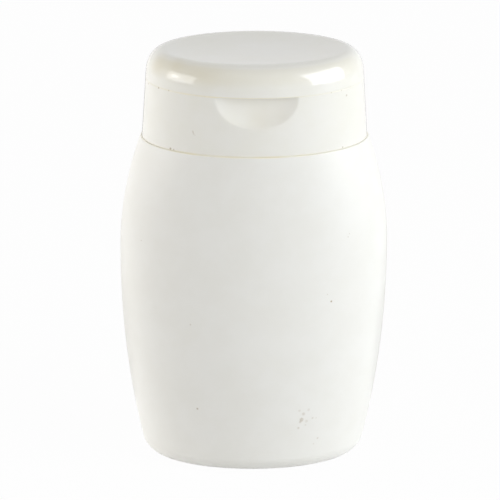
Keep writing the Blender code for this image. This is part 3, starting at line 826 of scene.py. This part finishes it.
def make_closure():
    hollow = closure_hollow()
    blocks = [recess_backing()]
    for name, side in (("rib_left", -1), ("rib_right", 1)):
        near = side * (COLLAR_RADIUS - COLLAR_WALL / 2)
        low = (near, -RIB_THICKNESS / 2, COLLAR_BOTTOM + COLLAR_LEAD)
        blocks.append(box(name, low, (side * CAP_HALF_WIDTH, RIB_THICKNESS / 2, PLATEAU_TOP)))
    pad_bottom = AXIS_Z - FLAT_DROP - SKIRT_WALL
    blocks.append(wide_slab("hinge_pad", PAD_INNER_Y, FAR_Y, pad_bottom, PLATEAU_TOP))
    low = (-POCKET_HALF_WIDTH, COLLAR_RADIUS - COLLAR_WALL / 2, WINDOW_BOTTOM - POCKET_WALL)
    blocks.append(box("band_pocket", low, (POCKET_HALF_WIDTH, FAR_Y, PLATEAU_TOP)))
    for block in blocks:
        cut(hollow, block)
    settle(hollow, blocks)
    closure = closure_outside()
    cutters = hinge_cutters()
    cutters.append(window_cutter("base_window", WINDOW_BOTTOM, PLATEAU_TOP + OVERRUN))
    for cutter in [hollow] + cutters:
        cut(closure, cutter)
    settle(closure, [hollow] + cutters)
    finish_surface(closure)
    return closure


# Lid


def lid_profile():
    """Rings from the bottom edge up the outside, over the rim's crest and down into the dish."""
    rings = [seam_ring(LID_WALL / 2, LID_BOTTOM)]
    for turn in reversed(quarter_turns(EDGE_STEPS)):
        inset = EDGE_ROUND * (1 - math.cos(turn))
        rings.append(seam_ring(inset, LID_BOTTOM + EDGE_ROUND * (1 - math.sin(turn))))
    straight_top = LID_LOW.z + LID_STRAIGHT
    for share in spaced(0.0, 1.0, LID_SIDE_STEP_SHARE)[1:]:
        rings.append(seam_ring(LID_DRAFT * share, mixed(LID_BOTTOM + EDGE_ROUND, straight_top, share)))
    side_end = len(rings) - 1
    rise = LID_TOP - straight_top
    for turn in quarter_turns(CREST_STEPS)[1:]:
        inset = LID_DRAFT + RIM_INSET * (1 - math.cos(turn))
        rings.append(seam_ring(inset, straight_top + rise * math.sin(turn)))
    crest_width, crest_depth, _ = rings[-1]
    for share in reversed(spaced(DISH_FIRST_SHARE, 1.0, DISH_STEP_SHARE)[:-1]):
        height = DISH_FLOOR + DISH_DEPTH * share**DISH_CURVE
        rings.append((crest_width * share, crest_depth * share, height))
    rings = soften(rings, side_end, CREST_ROUND)
    lift = (LID_TOP - LID_BOTTOM) / (max(height for _, _, height in rings) - LID_BOTTOM)
    return [(width, depth, LID_BOTTOM + (height - LID_BOTTOM) * lift) for width, depth, height in rings]


def soften(rings, start, width):
    """Rounds off the creases of a profile by averaging its rings over a width, from a start on."""
    table = np.array(rings)
    run = np.concatenate([[0.0], np.cumsum(np.linalg.norm(np.diff(table, axis=0), axis=1))])
    result = table.copy()
    for k in range(start, len(table) - 1):
        room = min(run[k] - run[start - 1], run[-1] - run[k])
        spread = max(min(width, room / 2), width * LEAST_SPREAD_SHARE)
        weights = np.exp(-(((run - run[k]) / spread) ** 2)) * np.gradient(run)
        result[k] = (table * weights[:, None]).sum(axis=0) / weights.sum()
    return [tuple(ring) for ring in result]


def lid_hollow():
    """The space inside the lid."""
    straight_top = LID_LOW.z + LID_STRAIGHT
    rings = [seam_ring(LID_WALL, LID_BOTTOM - OVERRUN), seam_ring(LID_WALL, straight_top)]
    reach, rise = RIM_INSET - LID_WALL, LID_TOP - straight_top - LID_WALL
    for turn in quarter_turns(ROOF_STEPS)[1:]:
        inset = LID_DRAFT + RIM_INSET - reach * math.cos(turn)
        rings.append(seam_ring(inset, straight_top + rise * math.sin(turn)))
    crest_width, crest_depth, _ = rings[-1]
    for share in LID_ROOF_SHARES:
        height = DISH_FLOOR + DISH_DEPTH * share**DISH_CURVE - LID_WALL
        rings.append((crest_width * share, crest_depth * share, height))
    return turned("lid_hollow", rings)


def plug_form():
    radius = ORIFICE_RADIUS - PLUG_GAP
    narrow = radius * PLUG_TIP_SHARE
    chamfer = radius * PLUG_CHAMFER_SHARE
    tip = SPOUT_TOP - PLUG_ENTRY
    rings = [circle(narrow - chamfer, tip)]
    for turn in quarter_turns(PLUG_STEPS)[1:]:
        bulged = narrow - chamfer + chamfer * math.sin(turn)
        rings.append(circle(bulged, tip + chamfer * (1 - math.cos(turn))))
    rings.append(circle(radius, SPOUT_TOP - chamfer))
    rings.append(circle(radius, LID_TOP))
    return turned("plug", rings, INNER_COLUMNS // 2)


def spout_ring_form():
    """The ring under the lid's roof, as a solid cylinder with a hollow to take out of it."""
    low = (PLATEAU_TOP + SPOUT_TOP) / 2
    radius = SPOUT_RING_RADIUS + SPOUT_RING_WALL
    rings = [circle(radius - EDGE_ROUND, low), circle(radius, low + EDGE_ROUND), circle(radius, LID_TOP)]
    outer = turned("spout_ring", rings)
    rings = [circle(SPOUT_RING_RADIUS, low - OVERRUN), circle(SPOUT_RING_RADIUS, LID_TOP + OVERRUN)]
    bore = turned("spout_ring_bore", rings)
    cut(outer, bore)
    settle(outer, [bore])
    return outer


def make_lid():
    hollow = lid_hollow()
    low_z, high_z = LID_BOTTOM - 2 * OVERRUN, LID_TOP + OVERRUN
    lug_low = (-POCKET_HALF_WIDTH, WINDOW_INNER_Y, WINDOW_TOP - OVERRUN)
    blocks = [
        wide_slab("lip_pad", -FAR_Y, LIP_PAD_Y, low_z, high_z),
        wide_slab("lid_hinge_pad", PAD_INNER_Y, FAR_Y, low_z, high_z),
        box("band_lug", lug_low, (POCKET_HALF_WIDTH, FAR_Y, high_z)),
        plug_form(),
        spout_ring_form(),
    ]
    for block in blocks:
        cut(hollow, block)
    settle(hollow, blocks)
    turns = even_turns(LID_COLUMNS)
    lid = lofted("lid_skin", [oval(ring, turns) for ring in lid_profile()])
    cutters = hinge_cutters()
    cutters.append(window_cutter("lid_window", LID_BOTTOM - OVERRUN, WINDOW_TOP))
    for cutter in [hollow] + cutters:
        cut(lid, cutter)
    settle(lid, [hollow] + cutters)
    finish_surface(lid)
    return lid


# Hinge


def strip(name, low, high, rows, edge):
    """A thin upright strip with rounded long edges, in rows that can bend."""
    (x0, y0, z0), (x1, y1, z1) = low, high
    half_width, half_depth = (x1 - x0) / 2, (y1 - y0) / 2
    edge = min(edge, half_depth * STRIP_EDGE_SHARE)
    outline = []
    for quarter in range(4):
        corner_x = (x0 + x1) / 2 + (half_width - edge) * (1 if quarter in (0, 3) else -1)
        corner_y = (y0 + y1) / 2 + (half_depth - edge) * (1 if quarter in (0, 1) else -1)
        for turn in quarter_turns(EDGE_STEPS):
            angle = turn + quarter * math.pi / 2
            outline.append((corner_x + edge * math.cos(angle), corner_y + edge * math.sin(angle)))
    heights = spaced(z0, z1, (z1 - z0) / rows)
    obj = lofted(name, [[(x, y, height) for x, y in outline] for height in heights])
    obj.data.shade_smooth()
    obj.data.set_sharp_from_angle(angle=STRIP_SHARP_ANGLE)
    return obj


def make_films():
    films = []
    for side in ("left", "right"):
        low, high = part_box(f"hinge_film_{side}")
        films.append(strip(f"hinge_film_skin_{side}", low, high, FILM_ROWS, FILM_EDGE))
    return films


def make_band():
    return strip("spring_band_skin", BAND_LOW, BAND_HIGH, BAND_ROWS, BAND_EDGE)


# Materials


class Nodes:
    """The nodes of a material or of the world."""

    def __init__(self, owner):
        owner.use_nodes = True
        self.tree = owner.node_tree

    def add(self, kind, **inputs):
        node = self.tree.nodes.new(kind)
        for name, value in inputs.items():
            self.set(node.inputs[name.replace("_", " ")], value)
        return node

    def set(self, socket, value):
        if isinstance(value, bpy.types.NodeSocket):
            self.tree.links.new(value, socket)
        else:
            socket.default_value = value

    def operate(self, kind, operation, values):
        node = self.tree.nodes.new(kind)
        node.operation = operation
        for socket, value in zip(node.inputs, values):
            self.set(socket, value)
        return node

    def math(self, operation, *values):
        return self.operate("ShaderNodeMath", operation, values).outputs["Value"]

    def distance(self, place, middle):
        return self.operate("ShaderNodeVectorMath", "DISTANCE", (place, middle)).outputs["Value"]

    def blend(self, share, first, second):
        node = self.tree.nodes.new("ShaderNodeMix")
        node.data_type = "RGBA"
        self.set(node.inputs["Factor"], share)
        self.set(node.inputs["A"], first)
        self.set(node.inputs["B"], second)
        return node.outputs["Result"]

    def ramp(self, value, low, high, to_low=0.0, to_high=1.0):
        node = self.tree.nodes.new("ShaderNodeMapRange")
        node.interpolation_type = "SMOOTHSTEP"
        ends = {"From Min": low, "From Max": high, "To Min": to_low, "To Max": to_high}
        self.set(node.inputs["Value"], value)
        for name, number in ends.items():
            self.set(node.inputs[name], number)
        return node.outputs["Result"]

    def noise(self, place, scale, detail, roughness):
        node = self.add("ShaderNodeTexNoise", Scale=scale, Detail=detail, Roughness=roughness)
        self.set(node.inputs["Vector"], place)
        return node.outputs["Fac"]

    def bump(self, depth, height):
        strength, distance = depth
        return self.add("ShaderNodeBump", Strength=strength, Distance=distance, Height=height)

    def white_share(self):
        """1 for what the camera sees, also in mirrors and through glass, and 0 for other rays."""
        path = self.add("ShaderNodeLightPath").outputs
        seen = self.math("MAXIMUM", path["Is Camera Ray"], path["Is Glossy Ray"])
        return self.math("MAXIMUM", seen, path["Is Transmission Ray"])

    def finish(self, output, share, first, second):
        """Mixes two shaders into the output."""
        mixer = self.tree.nodes.new("ShaderNodeMixShader")
        for socket, value in zip(mixer.inputs, (share, first, second)):
            self.set(socket, value)
        self.set(self.tree.nodes[output].inputs["Surface"], mixer.outputs["Shader"])


def on_front(ring, x):
    """The place at x on the front of an oval ring."""
    half_width, half_depth, height = ring
    return (x, -half_depth * math.sqrt(1 - (x / half_width) ** 2), height)


def placed_marks(marks, ring_at):
    """Marks with their places on the front of a form, whose rings are given by height."""
    placed = []
    for x, height, radius, strength in marks:
        placed.append((on_front(ring_at(height * MM), x * MM), radius * MM, strength))
    return placed


def stained(nodes, place, tone, seams, marks):
    """A tone with a yellowed line along each seam and a few marks of soil."""
    axes = nodes.add("ShaderNodeSeparateXYZ", Vector=place).outputs
    patchy = nodes.ramp(nodes.noise(place, *STAIN_NOISE), *STAIN_NOISE_SPAN, *SEAM_STAIN_PATCH_SHARES)
    aside = nodes.math("ABSOLUTE", nodes.math("SUBTRACT", axes["X"], SEAM_STAIN_MIDDLE))
    fading = nodes.ramp(aside, *SEAM_STAIN_ENDS, 1.0, SEAM_STAIN_END_SHARE)
    patchy = nodes.math("MULTIPLY", patchy, fading)
    for seam in seams:
        off = nodes.math("ABSOLUTE", nodes.math("SUBTRACT", axes["Z"], seam))
        line = nodes.ramp(off, SEAM_STAIN_HEIGHT / 2, SEAM_STAIN_HEIGHT, 1.0, 0.0)
        tone = nodes.blend(nodes.math("MULTIPLY", line, patchy), tone, STAIN_COLOUR)
    ragged = nodes.noise(place, *MARK_NOISE)
    for middle, radius, strength in marks:
        reach = nodes.math("MULTIPLY_ADD", ragged, radius, nodes.distance(place, middle))
        spot = nodes.ramp(reach, radius, MARK_FADE_RADII * radius, strength, 0.0)
        tone = nodes.blend(spot, tone, SOIL_COLOUR)
    return tone


def shade_painted(nodes, place, tone):
    """A tone with painted shade and warm reflection along the front of the lid's rim, and soft patches of
    painted shade.
    """
    axes = nodes.add("ShaderNodeSeparateXYZ", Vector=place).outputs
    # painted shade and warm reflection in a band along the front of the lid's rim
    drop = nodes.math("SUBTRACT", LID_TOP, axes["Z"])
    begins, full, fades, ends = RIM_SHADE_DROPS
    band = nodes.math("MULTIPLY", nodes.ramp(drop, full, begins, 1.0, 0.0), nodes.ramp(drop, ends, fades))
    band = nodes.math("MULTIPLY", band, nodes.ramp(axes["Y"], *RIM_SHADE_DEPTHS, RIM_SHADE_SHARE, 0.0))
    tone = nodes.blend(band, tone, PAINTED_SHADE_COLOUR)
    for *middle, radius, strength in PAINTED_SHADE_PATCHES:
        away = nodes.distance(place, [value * MM for value in middle])
        tone = nodes.blend(nodes.ramp(away, 0.0, radius * MM, strength, 0.0), tone, PAINTED_SHADE_COLOUR)
    return tone


def satin_bottle():
    """Blow-moulded polyethylene: satin, faintly wavy, with a few marks of handling."""
    material = bpy.data.materials.new("satin bottle plastic")
    nodes = Nodes(material)
    sockets = nodes.tree.nodes["Principled BSDF"].inputs
    place = nodes.add("ShaderNodeTexCoord").outputs["Object"]
    broad = nodes.noise(place, *BOTTLE_TONE_NOISE)
    tone = nodes.blend(nodes.ramp(broad, *NOISE_SPAN), *BOTTLE_COLOURS)
    tone = stained(nodes, place, tone, [SHOULDER_HEIGHT], placed_marks(BODY_MARKS, body_ring))
    nodes.set(sockets["Base Color"], tone)
    grain = nodes.noise(place, *BOTTLE_GRAIN_NOISE)
    nodes.set(sockets["Roughness"], nodes.ramp(grain, *NOISE_SPAN, *BOTTLE_ROUGHNESSES))
    nodes.set(sockets["IOR"], BOTTLE_IOR)
    wave = nodes.bump(BOTTLE_WAVE, nodes.noise(place, *BOTTLE_WAVE_NOISE))
    fine = nodes.bump(BOTTLE_GRAIN, grain)
    nodes.set(fine.inputs["Normal"], wave.outputs["Normal"])
    nodes.set(sockets["Normal"], fine.outputs["Normal"])
    return material


def gloss_closure():
    """Injection-moulded polypropylene: glossy, a little ivory, faintly uneven."""
    material = bpy.data.materials.new("gloss closure plastic")
    nodes = Nodes(material)
    sockets = nodes.tree.nodes["Principled BSDF"].inputs
    place = nodes.add("ShaderNodeTexCoord").outputs["Object"]
    broad = nodes.noise(place, *CLOSURE_TONE_NOISE)
    tone = nodes.blend(nodes.ramp(broad, *NOISE_SPAN), *CLOSURE_COLOURS)
    # painted warm shade and reflection on the lid's rim, and painted warm shade in the recess
    tone = shade_painted(nodes, place, tone)
    tone = stained(nodes, place, tone, [SKIRT_BOTTOM, AXIS_Z], placed_marks(CLOSURE_MARKS, cap_ring))
    nodes.set(sockets["Base Color"], tone)
    grain = nodes.noise(place, *CLOSURE_GRAIN_NOISE)
    nodes.set(sockets["Roughness"], nodes.ramp(grain, *NOISE_SPAN, *CLOSURE_ROUGHNESSES))
    nodes.set(sockets["IOR"], CLOSURE_IOR)
    nodes.set(sockets["Specular IOR Level"], CLOSURE_SPECULAR)
    nodes.set(sockets["Coat Weight"], COAT_WEIGHT)
    nodes.set(sockets["Coat IOR"], COAT_IOR)
    nodes.set(sockets["Coat Roughness"], COAT_ROUGHNESS)
    wave = nodes.bump(CLOSURE_WAVE, nodes.noise(place, *CLOSURE_WAVE_NOISE))
    nodes.set(sockets["Normal"], wave.outputs["Normal"])
    return material


# Stage


def pale_floor():
    """White where it is seen, but for a share that takes the bottle's shadow."""
    material = bpy.data.materials.new("pale floor")
    nodes = Nodes(material)
    matt = nodes.tree.nodes["Principled BSDF"]
    nodes.set(matt.inputs["Base Color"], FLOOR_COLOUR)
    nodes.set(matt.inputs["Roughness"], FLOOR_ROUGHNESS)
    white = nodes.add("ShaderNodeEmission", Color=FULL_WHITE, Strength=1.0)
    share = nodes.math("MULTIPLY", nodes.white_share(), FLOOR_GLOW_SHARE)
    nodes.finish("Material Output", share, matt.outputs["BSDF"], white.outputs["Emission"])
    return material


def level_sheet(name, low, high, height):
    (x0, y0), (x1, y1) = low, high
    corners = [(x0, y0, height), (x1, y0, height), (x1, y1, height), (x0, y1, height)]
    mesh = bpy.data.meshes.new(name)
    mesh.from_pydata(corners, [], [(0, 1, 2, 3)])
    return add_piece(name, mesh)


def make_floor():
    size = FLOOR_HALF_SIZE
    floor = level_sheet("floor", (-size, -size), (size, size), 0.0)
    floor.data.materials.append(pale_floor())


def make_card():
    """A grey card that lies behind the bottle and shows only as a reflection along its edges."""
    low, high = (-CARD_HALF_WIDTH, CARD_NEAR_Y), (CARD_HALF_WIDTH, CARD_FAR_Y)
    card = level_sheet("grey_card", low, high, CARD_HEIGHT)
    material = bpy.data.materials.new("grey card")
    nodes = Nodes(material)
    grey = nodes.add("ShaderNodeEmission", Strength=CARD_BRIGHTNESS)
    nodes.set(nodes.tree.nodes["Material Output"].inputs["Surface"], grey.outputs["Emission"])
    card.data.materials.append(material)
    card.visible_camera = False
    card.visible_diffuse = False
    card.visible_shadow = False
    card.visible_transmission = False


def make_world():
    """Soft light all round, which looks white where it is seen."""
    world = bpy.data.worlds.new("studio")
    nodes = Nodes(world)
    soft = nodes.tree.nodes["Background"]
    nodes.set(soft.inputs["Color"], WORLD_COLOUR)
    nodes.set(soft.inputs["Strength"], WORLD_STRENGTH)
    white = nodes.add("ShaderNodeBackground", Color=FULL_WHITE, Strength=1.0)
    outputs = (soft.outputs["Background"], white.outputs["Background"])
    nodes.finish("World Output", nodes.white_share(), *outputs)
    bpy.context.scene.world = world


def make_light(name, azimuths, elevations, radiance, colour, mirrored):
    """An area light that fills a range of azimuth and elevation, as the bottle sees it."""
    azimuth, elevation = [math.radians(sum(ends) / 2) for ends in (azimuths, elevations)]
    width, height = [
        2 * LIGHT_DISTANCE * math.tan(math.radians(ends[1] - ends[0]) / 2)
        for ends in (azimuths, elevations)
    ]
    light = bpy.data.lights.new(name, "AREA")
    light.shape = "RECTANGLE"
    light.size = width
    light.size_y = height
    light.energy = radiance * math.pi * width * height
    light.color = colour
    obj = bpy.data.objects.new(name, light)
    out = Vector((math.sin(azimuth), -math.cos(azimuth), 0.0)) * math.cos(elevation)
    out.z = math.sin(elevation)
    obj.location = out * LIGHT_DISTANCE + Vector((0.0, 0.0, LIGHT_AIM_HEIGHT))
    obj.rotation_euler = (math.pi / 2 - elevation, 0.0, azimuth)
    obj.visible_camera = False
    obj.visible_glossy = mirrored
    bpy.context.scene.collection.objects.link(obj)


def make_camera():
    camera = bpy.data.cameras.new("camera")
    camera.lens = VIEW_LENS
    camera.sensor_width = VIEW_SENSOR
    camera.clip_end = VIEW_REACH
    obj = bpy.data.objects.new("camera", camera)
    bpy.context.scene.collection.objects.link(obj)
    turn = Matrix.Rotation(VIEW_AZIMUTH, 3, "Z")
    turn = turn @ Matrix.Rotation(math.pi / 2 - VIEW_ELEVATION, 3, "X")
    turn = turn @ Matrix.Rotation(VIEW_ROLL, 3, "Z")
    obj.location = VIEW_AIM + turn.col[2] * VIEW_DISTANCE
    obj.rotation_euler = turn.to_euler()
    bpy.context.scene.camera = obj


def main():
    bottle = make_bottle()
    closure = make_closure()
    lid = make_lid()
    films = make_films()
    band = make_band()
    bottle.data.materials.append(satin_bottle())
    closure_plastic = gloss_closure()
    for piece in [closure, lid, band] + films:
        piece.data.materials.append(closure_plastic)
    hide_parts("bottle_body")
    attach(bottle, "bottle")
    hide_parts("closure_base")
    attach(closure, "bottle")
    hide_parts("lid")
    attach(lid, "lid")
    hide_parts("hinge_spring_band")
    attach(band, "spring_band")
    for film, side in zip(films, ("left", "right")):
        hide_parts(f"hinge_film_{side}")
        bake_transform(film)
    make_floor()
    make_card()
    make_world()
    for light in LIGHTS:
        make_light(*light)
    make_camera()
    bpy.context.scene.view_settings.view_transform = "Standard"


main()
